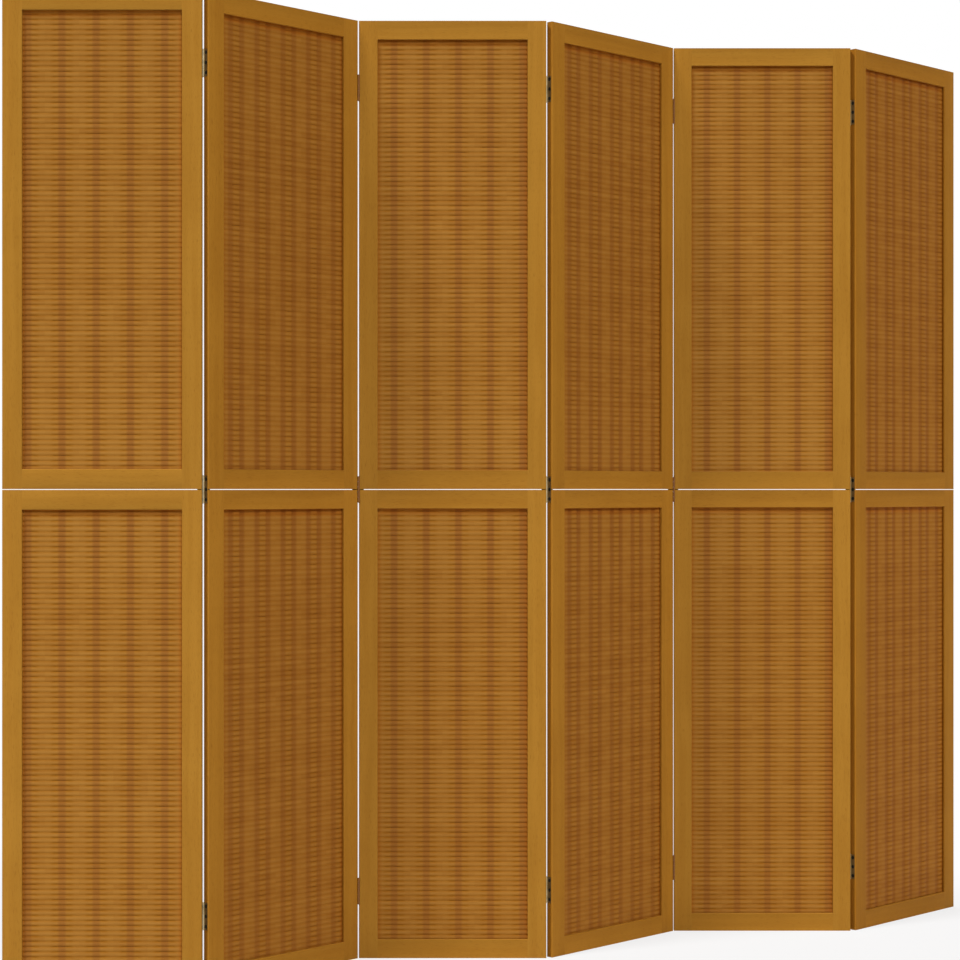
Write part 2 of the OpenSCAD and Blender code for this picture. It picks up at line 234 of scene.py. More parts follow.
class Sketch:
    """Adds nodes to one node tree and links them."""

    def __init__(self, tree: bpy.types.NodeTree) -> None:
        """Start on a tree, and clear what it holds."""
        self.tree = tree
        tree.nodes.clear()

    def add(self, kind: str, inputs: dict | None = None, **settings: object) -> bpy.types.Node:
        """Add one node.

        Args:
            kind: The node's type name.
            inputs: Values or sockets for its inputs, by name or number.
            settings: Values for the node's own properties.

        Returns:
            The new node.
        """
        node = self.tree.nodes.new(kind)
        for name, value in settings.items():
            setattr(node, name, value)
        self.fill(node, inputs or {})
        return node

    def out(self, kind: str, inputs: dict | None = None, **settings: object) -> Socket:
        """Add one node, and return its first output."""
        return self.add(kind, inputs, **settings).outputs[0]

    def fill(self, node: bpy.types.Node, inputs: dict) -> None:
        """Link or set a node's inputs, by name or number."""
        for name, value in inputs.items():
            self.feed(node.inputs[name], value)

    def feed(self, socket: Socket, value: object) -> None:
        """Link a socket to another, or set its value.

        Args:
            socket: The input to fill.
            value: An output socket, or a plain value.
        """
        if isinstance(value, Socket):
            self.tree.links.new(value, socket)
        else:
            socket.default_value = value

    def math(self, operation: str, *values: Number, clamp: bool = False) -> Socket:
        """Return the result of an operation on numbers, kept from 0 to 1 if it is clamped."""
        return self.out("ShaderNodeMath", dict(enumerate(values)), operation=operation,
                        use_clamp=clamp)

    def between(self, first: Socket, second: Socket, share: Socket) -> Socket:
        """Return the number that lies between two others, at a share of the way."""
        return self.math("MULTIPLY_ADD", self.math("SUBTRACT", second, first), share, first)

    def vector(self, operation: str, inputs: dict) -> Socket:
        """Return the result of an operation on vectors."""
        node = self.add("ShaderNodeVectorMath", inputs, operation=operation)
        return node.outputs["Value" if operation == "LENGTH" else "Vector"]

    def point(self, x: Number = 0.0, y: Number = 0.0, z: Number = 0.0) -> Socket:
        """Join three numbers into a vector."""
        return self.out("ShaderNodeCombineXYZ", {"X": x, "Y": y, "Z": z})

    def axes(self, place: Socket) -> list[Socket]:
        """Part a vector into its three numbers."""
        return list(self.add("ShaderNodeSeparateXYZ", {0: place}).outputs)

    def attribute(self, name: str, output: str) -> Socket:
        """Read a stored attribute, as a "Vector" or as a number ("Fac")."""
        return self.add("ShaderNodeAttribute", attribute_name=name).outputs[output]

    def object_place(self) -> Socket:
        """Read the place of a point in the frame of the part."""
        return self.add("ShaderNodeTexCoord").outputs["Object"]

    def ramp(self, value: Socket, step: Step) -> Socket:
        """Return what a smooth step makes of a value."""
        inputs = {"Value": value, "From Min": step.low, "From Max": step.high,
                  "To Min": step.before, "To Max": step.after}
        return self.out("ShaderNodeMapRange", inputs, interpolation_type="SMOOTHSTEP")

    def blend(self, factor: Number, first: Colour, second: Colour, mode: str = "MIX") -> Socket:
        """Return the mix of two colours. The factor is the share of the second one."""
        return self.add("ShaderNodeMix", {0: factor, 6: first, 7: second}, data_type="RGBA",
                        blend_type=mode).outputs[2]

    def noise(self, place: Socket, detail: float, scale: float = 1.0, rough: float = 0.5) -> Socket:
        """Return the noise at a place, with finer layers down to the detail."""
        inputs = {"Vector": place, "Scale": scale, "Detail": detail, "Roughness": rough}
        return self.out("ShaderNodeTexNoise", inputs)

    def chance(self, number: Socket) -> Socket:
        """Return a value from 0 to 1 that a number fixes."""
        return self.out("ShaderNodeTexWhiteNoise", {"W": number}, noise_dimensions="1D")

    def relief(self, height: Socket, strength: float, distance: float) -> Socket:
        """Return the normal of a surface with fine relief."""
        return self.out("ShaderNodeBump", {"Height": height, "Strength": strength,
                                           "Distance": distance})

    @staticmethod
    def pick(sockets: Iterable[Socket], label: str, kind: str = "VALUE") -> Socket:
        """Return the socket of that name and type, where a node has several of one name."""
        return next(socket for socket in sockets if socket.name == label and socket.type == kind)


def open_group(name: str, kind: str, inputs: dict, outputs: dict) -> tuple:
    """Make a node group with named inputs and outputs.

    Args:
        name: The group's name.
        kind: The type of tree.
        inputs: For each input its socket type and default value.
        outputs: For each output its socket type.

    Returns:
        The sketch, the group's input node and its output node.
    """
    tree = bpy.data.node_groups.new(name, kind)
    for label, (socket_type, value) in inputs.items():
        socket = tree.interface.new_socket(label, in_out="INPUT", socket_type=socket_type)
        if value is not None:
            socket.default_value = value
    for label, socket_type in outputs.items():
        tree.interface.new_socket(label, in_out="OUTPUT", socket_type=socket_type)
    sketch = Sketch(tree)
    return sketch, sketch.add("NodeGroupInput"), sketch.add("NodeGroupOutput")


@dataclass(frozen=True)
class Grain:
    """The shared grain: long streaks, short fibres and pores that follow a timber."""

    sway_scale: float = 5.0
    sway: float = 20 * MM
    fibre_length: float = 0.15
    fibre_roughness: float = 0.6
    pore_length: float = 9.0
    pore_width: float = 0.6
    pores: Step = Step(0.66, 0.76)
    cloud_scale: float = 9.0

    @cache
    def group(self) -> bpy.types.NodeTree:
        """Build the shader node group once.

        Returns:
            The group.
        """
        sketch, given, result = open_group(
            "timber_grain", "ShaderNodeTree",
            {"Place": (VECTOR, None), "Streak Length": (FLOAT, 0.4),
             "Streak Width": (FLOAT, 0.01), "Fibre Width": (FLOAT, 0.0012)},
            {"Streaks": FLOAT, "Fibres": FLOAT, "Pores": FLOAT, "Cloud": FLOAT})
        place, length, width, fibre = list(given.outputs)[:4]
        do = sketch.math
        sway = do("SUBTRACT", sketch.noise(place, detail=1.0, scale=self.sway_scale), 0.5)
        bent = sketch.vector("ADD", {0: place, 1: sketch.point(y=do("MULTIPLY", sway, self.sway))})

        def stretched(along: Socket, across: Socket) -> Socket:
            """Return the place in units of a length along the grain and one across it."""
            return sketch.vector("DIVIDE", {0: bent, 1: sketch.point(along, across, across)})

        fibre_place = stretched(do("MULTIPLY", length, self.fibre_length), fibre)
        pore_place = stretched(do("MULTIPLY", fibre, self.pore_length),
                               do("MULTIPLY", fibre, self.pore_width))
        sketch.fill(result, {
            "Streaks": sketch.noise(stretched(length, width), detail=3.0),
            "Fibres": sketch.noise(fibre_place, detail=2.0, rough=self.fibre_roughness),
            "Pores": sketch.ramp(sketch.noise(pore_place, detail=0.0), self.pores),
            "Cloud": sketch.noise(place, detail=2.0, scale=self.cloud_scale)})
        return sketch.tree


@cache
def arris_group(patches: Step = Step(0.3, 0.65)) -> bpy.types.NodeTree:
    """Build the shared rubbed edge: a mask along the long edges of a squared timber.

    Args:
        patches: Where the break-up lets the rubbed edge show.

    Returns:
        The shader node group.
    """
    sketch, given, result = open_group(
        "rubbed_arris", "ShaderNodeTree",
        {"Across": (FLOAT, 0.0), "Depth": (FLOAT, 0.0), "Half Width": (FLOAT, 0.018),
         "Half Depth": (FLOAT, 0.007), "Reach": (FLOAT, 0.002), "Break Up": (FLOAT, 0.5)},
        {"Mask": FLOAT})
    do = sketch.math
    gaps = [do("SUBTRACT", given.outputs[half], do("ABSOLUTE", given.outputs[side]))
            for side, half in (("Across", "Half Width"), ("Depth", "Half Depth"))]
    away = do("DIVIDE", do("MAXIMUM", *gaps), given.outputs["Reach"])
    worn = sketch.ramp(given.outputs["Break Up"], patches)
    sketch.fill(result, {"Mask": do("MULTIPLY", do("SUBTRACT", 1.0, away, clamp=True), worn)})
    return sketch.tree


@cache
def leaf_shade_group() -> bpy.types.NodeTree:
    """Build the shared painted shade of a leaf: a darker, warmer tint as far as the leaf is shaded.

    Returns:
        The shader node group.
    """
    sketch, given, result = open_group(
        "leaf_shade", "ShaderNodeTree", {"Colour": (COLOR, None), "Shade Tint": (COLOR, None)},
        {"Colour": COLOR})
    shaded = sketch.blend(sketch.attribute(LEAF_SHADE_SHARE, "Fac"), given.outputs["Colour"],
                         given.outputs["Shade Tint"], "MULTIPLY")
    sketch.fill(result, {"Colour": shaded})
    return sketch.tree


def leaf_shaded(sketch: Sketch, colour: Socket, shade_tint: tuple) -> Socket:
    """Add the leaf's painted shade to a colour. The most shaded leaf multiplies it by the tint."""
    return sketch.out("ShaderNodeGroup", {"Colour": colour, "Shade Tint": shade_tint},
                      node_tree=leaf_shade_group())


def open_material(name: str) -> tuple:
    """Make a material with one Principled shader.

    Args:
        name: The material's name.

    Returns:
        The material, its sketch and its shader node.
    """
    material = bpy.data.materials.new(name)
    material.use_nodes = True
    sketch = Sketch(material.node_tree)
    shader = sketch.add("ShaderNodeBsdfPrincipled")
    sketch.add("ShaderNodeOutputMaterial", {"Surface": shader.outputs["BSDF"]})
    return material, sketch, shader


# Finishes


def tone(red: float, green: float, blue: float) -> tuple:
    """Turn screen values from 0 to 255 into a linear colour with an alpha of 1."""
    colour = Color((red / 255, green / 255, blue / 255))
    return *colour.from_srgb_to_scene_linear(), 1.0


@dataclass(frozen=True)
class TimberFinish:
    """Stained and lacquered solid timber."""

    name: str = "stained_timber"
    light: tuple = tone(172, 121, 43)
    dark: tuple = tone(164, 113, 38)
    pore: tuple = tone(124, 77, 24)
    rubbed: tuple = tone(184, 133, 54)
    # Painted shade: a darker, warmer tint that the leaf's shade share mixes in.
    shade_tint: tuple = (1.0, 0.90, 0.70, 1.0)
    streak_share: float = 0.6
    cloud_share: float = 0.4
    figure: Step = Step(0.35, 0.65)
    fibres: Step = Step(0.3, 0.7, 0.0, 0.22)
    pore_share: float = 0.35
    rubbed_share: float = 0.25
    # How far the stored tone and painted shade darken or lighten the timber's colour.
    tone_shade_range: float = 0.09
    specular: float = 0.04
    roughness: Step = Step(0.2, 0.8, 0.36, 0.50)
    fibre_height: float = 0.5
    bump: float = 0.18
    bump_depth: float = 0.2 * MM

    def build(self) -> bpy.types.Material:
        """Build the material. It reads the place along the grain from an attribute.

        Returns:
            The material.
        """
        material, sketch, shader = open_material(self.name)
        do, blend = sketch.math, sketch.blend
        place = sketch.attribute(GRAIN_PLACE, "Vector")
        shifted = sketch.vector("ADD", {0: place, 1: sketch.attribute(GRAIN_OFFSET, "Vector")})
        grain = sketch.add("ShaderNodeGroup", {"Place": shifted}, node_tree=Grain().group())
        streaks, fibres, pores, cloud = list(grain.outputs)
        _, across, depth = sketch.axes(place)
        arris = sketch.add("ShaderNodeGroup", {
            "Across": across, "Depth": depth, "Break Up": cloud}, node_tree=arris_group())
        figure = do("ADD", do("MULTIPLY", streaks, self.streak_share),
                    do("MULTIPLY", cloud, self.cloud_share))
        colour = blend(sketch.ramp(figure, self.figure), self.dark, self.light)
        colour = blend(sketch.ramp(fibres, self.fibres), colour, self.light)
        colour = blend(do("MULTIPLY", pores, self.pore_share), colour, self.pore)
        rubbed = do("MULTIPLY", arris.outputs["Mask"], self.rubbed_share)
        colour = blend(rubbed, colour, self.rubbed)
        # Tone and painted shade: the stored share darkens or lightens the colour.
        level = do("MULTIPLY_ADD", sketch.attribute(TONE_AND_SHADE, "Fac"), self.tone_shade_range, 1.0)
        colour = sketch.vector("SCALE", {0: colour, "Scale": level})
        height = do("SUBTRACT", do("MULTIPLY", fibres, self.fibre_height), pores)
        sketch.fill(shader, {
            "Base Color": leaf_shaded(sketch, colour, self.shade_tint),
            "Roughness": sketch.ramp(fibres, self.roughness),
            "Specular IOR Level": self.specular,
            "Normal": sketch.relief(height, self.bump, self.bump_depth)})
        return material


@dataclass(frozen=True)
class StripFinish:
    """Flat woven strips: fibres along them, and painted shade in the seams, at stakes and at edges.
    """

    name: str = "woven_strip"
    shape: WeaveShape = WeaveShape()
    light: tuple = tone(169, 118, 52)
    dark: tuple = tone(157, 105, 42)
    # Painted shade in the seams between the strips, strongest beside the stakes.
    seam_shade: tuple = (0.70, 0.526, 0.01, 1.0)
    # Painted shade at the stakes: a band over each stake on the flat face, the hollows beside it on
    # the face with rungs.
    stake_shade: tuple = (0.79, 0.69, 0.75, 1.0)
    # Painted shadow under the top rail and along the sides of the opening.
    edge_shade: tuple = (0.95, 0.55, 0.05, 1.0)
    # Painted shade: a darker, warmer tint that the leaf's shade share mixes in.
    shade_tint: tuple = (0.96, 0.855, 0.66, 1.0)
    parts_per_row: float = 8.0
    fibre_scales: tuple = (14.0, 1500.0, 7.31)
    fibre_roughness: float = 0.6
    drift_scales: tuple = (22.0, 1.37)
    knot_stride: float = 9.7
    base: float = 0.005
    fibre_share: float = 0.5
    drift_share: float = 0.25
    row_share: float = 0.14
    knot_share: float = 0.15
    middle_share: float = 0.12
    figure: Step = Step(0.25, 0.75)
    near_middle: Step = Step.mm(60.0, 260.0, 1.0, 0.0)
    # Share of the painted stake shade far from the middle height; near the middle it is full.
    weakest_stake_shade: float = 0.82
    flat_band: Step = Step.mm(3.6, 9.6, 1.0, 0.0)
    hollow: tuple = (Step.mm(4.5, 9.5), Step.mm(15.5, 22.5, 1.0, 0.0))
    flat_seams: Step = Step.mm(15.0, 24.0, 0.70, 0.42)
    seam_loss: float = 0.3
    rung_seams: Step = Step.mm(6.0, 9.5, 0.60, 0.38)
    top_shade: tuple = (Step.mm(1.0, 4.5, 0.7, 0.45), Step.mm(6.0, 16.0, 1.0, 0.0))
    side_shade: Step = Step.mm(1.0, 10.0, 0.4, 0.0)
    edge_shade_scale: float = 40.0
    edge_shade_sway: float = 3 * MM
    specular: float = 0.03
    roughness: Step = Step(0.2, 0.8, 0.35, 0.50)
    bump: float = 0.25
    bump_depth: float = 0.2 * MM

    def build(self) -> bpy.types.Material:
        """Build the material. It reads the place on the strip from attributes.

        Returns:
            The material.
        """
        material, sketch, shader = open_material(self.name)
        do, blend, shape = sketch.math, sketch.blend, self.shape
        along, across, rise = sketch.axes(sketch.attribute(STRIP_PLACE, "Vector"))
        parts = do("ROUND", do("MULTIPLY", rise, self.parts_per_row / shape.row_pitch))
        row = do("DIVIDE", parts, self.parts_per_row)
        fibre_place = sketch.point(*(do("MULTIPLY", value, scale) for value, scale
                                     in zip((along, across, row), self.fibre_scales)))
        fibres = sketch.noise(fibre_place, detail=3.0, rough=self.fibre_roughness)
        from_middle = do("ABSOLUTE", do("SUBTRACT", sketch.axes(sketch.object_place())[2],
                                        shape.middle))
        near_middle = sketch.ramp(from_middle, self.near_middle)
        figure = self.figure_of(sketch, along, row)
        figure = do("MULTIPLY_ADD", fibres, self.fibre_share, figure)
        figure = do("MULTIPLY_ADD", near_middle, self.middle_share, figure)
        colour = blend(sketch.ramp(figure, self.figure), self.dark, self.light)
        # Painted shade at the stakes, stronger near the middle height, and the strength of the
        # painted seam shade.
        stake_shade, amount = self.stake_shade_marks(sketch, along)
        stake_shade_strength = do("MULTIPLY_ADD", near_middle, 1.0 - self.weakest_stake_shade, self.weakest_stake_shade)
        colour = blend(do("MULTIPLY", stake_shade, stake_shade_strength), colour, self.stake_shade, "MULTIPLY")
        # Painted shade in the seams: a cosine across each row.
        turn = do("COSINE", do("MULTIPLY", across, 2 * math.pi / shape.row_pitch))
        seam_shade = do("MULTIPLY", do("MULTIPLY_ADD", turn, -0.5, 0.5), amount)
        colour = blend(seam_shade, colour, self.seam_shade, "MULTIPLY")
        # Painted shadow along the top and sides of the opening.
        edge_shade_mask = self.edge_shade_marks(sketch, along, do("ADD", rise, across))
        colour = blend(edge_shade_mask, colour, self.edge_shade, "MULTIPLY")
        sketch.fill(shader, {
            "Base Color": leaf_shaded(sketch, colour, self.shade_tint),
            "Roughness": sketch.ramp(fibres, self.roughness),
            "Specular IOR Level": self.specular,
            "Normal": sketch.relief(fibres, self.bump, self.bump_depth)})
        return material

    def figure_of(self, sketch: Sketch, along: Socket, row: Socket) -> Socket:
        """Find how light a strip is: by its row, by the stake it crosses, and in slow drifts.

        Args:
            sketch: The material's tree.
            along: The place along the strip.
            row: The number of the row.

        Returns:
            The sum of their shares.
        """
        do, shape = sketch.math, self.shape
        crossing = do("ROUND", do("DIVIDE", do("SUBTRACT", along, shape.first_stake),
                                  shape.stake_pitch))
        knot = do("MULTIPLY_ADD", row, self.knot_stride, crossing)
        drift_place = sketch.point(*(do("MULTIPLY", value, scale) for value, scale
                                     in zip((along, row), self.drift_scales)))
        figure = self.base
        for source, share in ((sketch.noise(drift_place, detail=1.0), self.drift_share),
                              (sketch.chance(row), self.row_share),
                              (sketch.chance(knot), self.knot_share)):
            figure = do("MULTIPLY_ADD", source, share, figure)
        return figure

    def stake_shade_marks(self, sketch: Sketch, along: Socket) -> tuple:
        """Find the painted shade at the stakes, on the flat face and on the face with rungs.

        Args:
            sketch: The material's tree.
            along: The place along the strip.

        Returns:
            The mask of the painted stake shade, and the strength of the painted seam shade.
        """
        do, ramp, shape = sketch.math, sketch.ramp, self.shape
        rungs = sketch.attribute(STRIP_FACE, "Fac")
        away = do("PINGPONG", do("SUBTRACT", along, shape.first_stake), shape.stake_pitch / 2)
        flat_band = ramp(away, self.flat_band)
        hollow = do("MULTIPLY", *(ramp(away, step) for step in self.hollow))
        flat_seams = do("MULTIPLY", ramp(away, self.flat_seams),
                        do("MULTIPLY_ADD", flat_band, -self.seam_loss, 1.0))
        return (sketch.between(flat_band, hollow, rungs),
                sketch.between(flat_seams, ramp(away, self.rung_seams), rungs))

    def edge_shade_marks(self, sketch: Sketch, along: Socket, height: Socket) -> Socket:
        """Find the painted shade on the strips, close along the top and sides of the opening.

        Args:
            sketch: The material's tree.
            along: The place along the strip.
            height: The height over the foot of the frame.

        Returns:
            The mask of the painted shade.
        """
        do, ramp, shape = sketch.math, sketch.ramp, self.shape
        wobble = sketch.noise(sketch.point(along, height), detail=1.0, scale=self.edge_shade_scale)
        sway = do("MULTIPLY_ADD", wobble, self.edge_shade_sway, -self.edge_shade_sway / 2)
        below = do("ADD", do("SUBTRACT", shape.top_edge, height), sway)
        inside = do("ADD", do("SUBTRACT", shape.side_edge, do("ABSOLUTE", along)), sway)
        top = do("MULTIPLY", *(ramp(below, step) for step in self.top_shade))
        return do("MAXIMUM", top, ramp(inside, self.side_shade))


@dataclass(frozen=True)
class StakeFinish:
    """Upright cane stakes that the strips are woven round."""

    name: str = "stake_cane"
    light: tuple = tone(138, 78, 44)
    dark: tuple = tone(112, 58, 30)
    figure: Step = Step(0.3, 0.7)
    specular: float = 0.2
    roughness: Step = Step(0.2, 0.8, 0.5, 0.65)
    bump: float = 0.3
    bump_depth: float = 0.2 * MM

    def build(self) -> bpy.types.Material:
        """Build the material, with fibres that run up the stake.

        Returns:
            The material.
        """
        material, sketch, shader = open_material(self.name)
        turned = sketch.out("ShaderNodeMapping", {
            "Vector": sketch.object_place(), "Rotation": (0.0, math.radians(90), 0.0)})
        grain = sketch.add("ShaderNodeGroup", {"Place": turned},
                           node_tree=Grain().group()).outputs
        figure = sketch.ramp(grain["Fibres"], self.figure)
        sketch.fill(shader, {
            "Base Color": sketch.blend(figure, self.dark, self.light),
            "Roughness": sketch.ramp(grain["Streaks"], self.roughness),
            "Specular IOR Level": self.specular,
            "Normal": sketch.relief(grain["Fibres"], self.bump, self.bump_depth)})
        return material


@dataclass(frozen=True)
class MetalFinish:
    """Small hardware: a metal or a paint on metal, with fine marks from handling."""

    name: str
    clean: tuple
    worn: tuple
    metallic: float
    roughness: float
    back_shade: tuple | None = None
    front_shade: tuple | None = None
    mark_scale: float = 400.0
    mark_stretch: tuple = (1.0, 1.0, 0.12)
    mark_roughness: Step = Step(0.25, 0.75, -0.08, 0.12)
    patch_scale: float = 60.0
    patches: Step = Step(0.45, 0.7)
    front_shade_depth: Step = Step.mm(-66.5, -64.0, 1.0, 0.0)
    back_shade_depth: Step = Step.mm(-10.0, 10.0)
    bump: float = 0.12
    bump_depth: float = 0.1 * MM

    def build(self) -> bpy.types.Material:
        """Build the material on the hardware's own place.

        Painted shade turns the hinges behind the middle of the screen brown and not metallic,
        and a darker painted shade covers the foremost part of the plates in front of it.

        Returns:
            The material.
        """
        material, sketch, shader = open_material(self.name)
        place = sketch.object_place()
        stretched = sketch.out("ShaderNodeMapping", {"Vector": place, "Scale": self.mark_stretch})
        marks = sketch.noise(stretched, detail=3.0, scale=self.mark_scale)
        patches = sketch.ramp(sketch.noise(place, detail=2.0, scale=self.patch_scale), self.patches)
        colour = sketch.blend(patches, self.clean, self.worn)
        metallic = self.metallic
        depth = sketch.axes(place)[1]
        # Painted shade: a darker colour on the foremost part of the plates in front of the middle.
        if self.front_shade:
            colour = sketch.blend(sketch.ramp(depth, self.front_shade_depth), colour, self.front_shade)
        # Painted shade: the hinges behind the middle of the screen turn brown and not metallic.
        if self.back_shade:
            colour = sketch.blend(sketch.ramp(depth, self.back_shade_depth), colour, self.back_shade)
            metallic = sketch.ramp(depth, Step(
                self.back_shade_depth.low, self.back_shade_depth.high, self.metallic, 0.0))
        rough = sketch.math("ADD", sketch.ramp(marks, self.mark_roughness), self.roughness)
        sketch.fill(shader, {
            "Base Color": colour, "Metallic": metallic, "Roughness": rough,
            "Normal": sketch.relief(marks, self.bump, self.bump_depth)})
        return material


# Parts


def place_object(name: str, data: bpy.types.ID) -> bpy.types.Object:
    """Put a new object in the scene.

    Args:
        name: The object's name.
        data: Its mesh, lamp or camera.

    Returns:
        The object.
    """
    obj = bpy.data.objects.new(name, data)
    bpy.context.scene.collection.objects.link(obj)
    return obj


def keep_mesh(obj: bpy.types.Object) -> None:
    """Apply an object's modifiers to its mesh, and remove them.

    Args:
        obj: The object.
    """
    graph = bpy.context.evaluated_depsgraph_get()
    mesh = bpy.data.meshes.new_from_object(
        obj.evaluated_get(graph), preserve_all_data_layers=True, depsgraph=graph)
    obj.modifiers.clear()
    obj.data = mesh
    mesh.name = obj.name


def mark(mesh: bpy.types.Mesh, name: str, values: np.ndarray) -> None:
    """Store one number or one vector for each point of a mesh.

    Args:
        mesh: The mesh.
        name: The attribute's name.
        values: The numbers, or a row of three for each point.
    """
    kind, key = ("FLOAT", "value") if values.ndim == 1 else ("FLOAT_VECTOR", "vector")
    layer = mesh.attributes.new(name, kind, "POINT")
    layer.data.foreach_set(key, values.astype(np.float32).ravel())


@dataclass(frozen=True)
class TimberPart:
    """The stiles or the rails of one frame: softened edges, a tone for each timber, painted shade.
    """

    leaf: Leaf
    tier: Tier
    run: Run
    finish: bpy.types.Material
    arris: float = 0.45 * MM
    arris_segments: int = 2
    shortest_arris: float = 12 * MM
    merge_within: float = 1e-6
    joint_within: float = 0.05 * MM
    flat_within: float = math.radians(1)
    sharp_from: float = math.radians(35)
    stile_fall: float = 0.3
    stile_climb: float = 0.8
    rail_fall: float = -1.0
    first_rail_fall: float = 1.2
    # Painted shade: the lower rail of the first leaf's upper frame, the inner odd leaves' rails and
    # the whole last leaf are darkened or lightened.
    first_bottom_shade: float = -0.5
    inner_rail_shades: tuple = (0.2, -0.4, -0.7)
    # Painted shade: the inner odd leaves' rails, all but the topmost, take this share of the shade
    # tint.
    inner_shade_share: float = 0.3
    last_shade: float = -0.8
    timbers_each: int = 4
    upper_shift: float = 1.7
    grain_shift: tuple = (1.31, 0.57, 0.83)

    @property
    def word(self) -> str:
        """Return the part's plain name."""
        return "stiles" if self.run is Run.UPRIGHT else "rails"

    def build(self) -> bpy.types.Object:
        """Make the piece from a merged copy of the node's solids.

        Returns:
            The finished object, riding on its body.
        """
        node = self.leaf.node(self.tier, self.word)
        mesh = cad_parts[node].data.copy()
        mesh.name = f"{self.leaf.body}_{self.tier.value}_timber_{self.word}"
        self.merge(mesh)
        obj = place_object(mesh.name, mesh)
        soften = obj.modifiers.new("arrises", "BEVEL")
        soften.width = self.arris
        soften.segments = self.arris_segments
        soften.limit_method = "WEIGHT"
        soften.harden_normals = True
        keep_mesh(obj)
        self.mark_grain(obj.data)
        obj.data.materials.clear()
        obj.data.materials.append(self.finish)
        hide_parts(node)
        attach(obj, self.leaf.body)
        return obj

    def merge(self, mesh: bpy.types.Mesh) -> None:
        """Join the loose triangles, and weight the long sharp edges for the bevel.

        The edges in the joints between stiles and rails stay sharp.

        Args:
            mesh: The copy to change.
        """
        inverse = self.leaf.place.inverted()
        joint = self.leaf.width / 2 - self.leaf.stile_width
        mesh.normals_split_custom_set_from_vertices([(0, 0, 0)] * len(mesh.vertices))
        work = bmesh.new()
        work.from_mesh(mesh)
        bmesh.ops.remove_doubles(work, verts=work.verts, dist=self.merge_within)
        bmesh.ops.dissolve_limit(work, angle_limit=self.flat_within, verts=work.verts,
                                 edges=work.edges)
        weight = work.edges.layers.float.new("bevel_weight_edge")
        for edge in work.edges:
            sharp = edge.is_manifold and edge.calc_face_angle() > self.sharp_from
            edge.smooth = not sharp
            in_joint = all(abs(abs((inverse @ corner.co).x) - joint) < self.joint_within
                           for corner in edge.verts)
            is_arris = sharp and not in_joint and edge.calc_length() > self.shortest_arris
            edge[weight] = float(is_arris)
        for face in work.faces:
            face.smooth = True
        work.to_mesh(mesh)
        work.free()
        custom = mesh.attributes.get("custom_normal")
        if custom:
            mesh.attributes.remove(custom)

    def mark_grain(self, mesh: bpy.types.Mesh) -> None:
        """Store each point's grain place, a shift for each timber, and its tone and painted shade.

        Args:
            mesh: The finished mesh.
        """
        leaf, inset = self.leaf, self.leaf.stile_width / 2
        places = np.empty(len(mesh.vertices) * 3)
        mesh.vertices.foreach_get("co", places)
        inverse = np.array(leaf.place.inverted())
        local = places.reshape(-1, 3) @ inverse[:3, :3].T + inverse[:3, 3]
        height = local[:, 2] - leaf.foot(self.tier)
        if self.run is Run.UPRIGHT:
            along, cross, half = local[:, 2], local[:, 0], leaf.width / 2
        else:
            half = leaf.frame_height / 2
            along, cross = local[:, 0], height - half
        side = np.sign(cross)
        across = cross - side * (half - inset)
        number = leaf.number * self.timbers_each + side + self.upper_shift * (
            self.tier is Tier.UPPER)
        mark(mesh, GRAIN_PLACE, np.stack([along, across, local[:, 1]], axis=1))
        mark(mesh, GRAIN_OFFSET, np.outer(number, self.grain_shift))
        tone_shade, shade_share = self.tones(side, across / inset, height / leaf.frame_height)
        mark(mesh, TONE_AND_SHADE, tone_shade)
        mark(mesh, LEAF_SHADE_SHARE, shade_share)

    def tones(self, side: np.ndarray, across: np.ndarray, height: np.ndarray) -> tuple:
        """Find each point's tone and painted shade, and its share of the painted shade tint.

        Args:
            side: For each point, -1 on the left or lower timber and 1 on the other.
            across: Its place across the timber, from -1 to 1.
            height: Its height in the frame, from 0 to 1.

        Returns:
            The shares of the finish's range of tone and painted shade, and of its shade tint.
        """
        leaf = self.leaf
        shade_share = np.full(len(side), leaf.shade_share)
        if self.run is Run.UPRIGHT:
            tone_shade = self.stile_fall * side * across + self.stile_climb * (height - 0.5)
        else:
            tone_shade = across * (self.first_rail_fall if leaf.is_first else self.rail_fall)
            # Painted shade on the rails of the first leaf and of the inner odd leaves.
            tone_shade = tone_shade + self.rail_shade(side > 0)
            is_topmost = (side > 0) & (self.tier is Tier.UPPER)
            # Painted shade tint on the inner odd leaves' rails, all but the topmost.
            shade_share = shade_share + np.where(is_topmost, 0.0, self.inner_shade_share) * leaf.is_inner_odd
        # Painted shade darkens the whole last leaf.
        return tone_shade + self.last_shade * leaf.is_last, shade_share

    def rail_shade(self, is_top: np.ndarray) -> np.ndarray:
        """Find how much painted shade darkens or lightens each rail beside the others.

        Args:
            is_top: For each point, whether it lies on the upper rail of the frame.

        Returns:
            For each point, its share of the finish's range of tone and painted shade.
        """
        is_upper = self.tier is Tier.UPPER
        if self.leaf.is_inner_odd:
            topmost, top, bottom = self.inner_rail_shades
            return np.where(is_top, topmost if is_upper else top, bottom)
        return np.where(is_top, 0.0, self.first_bottom_shade) * (self.leaf.is_first and is_upper)


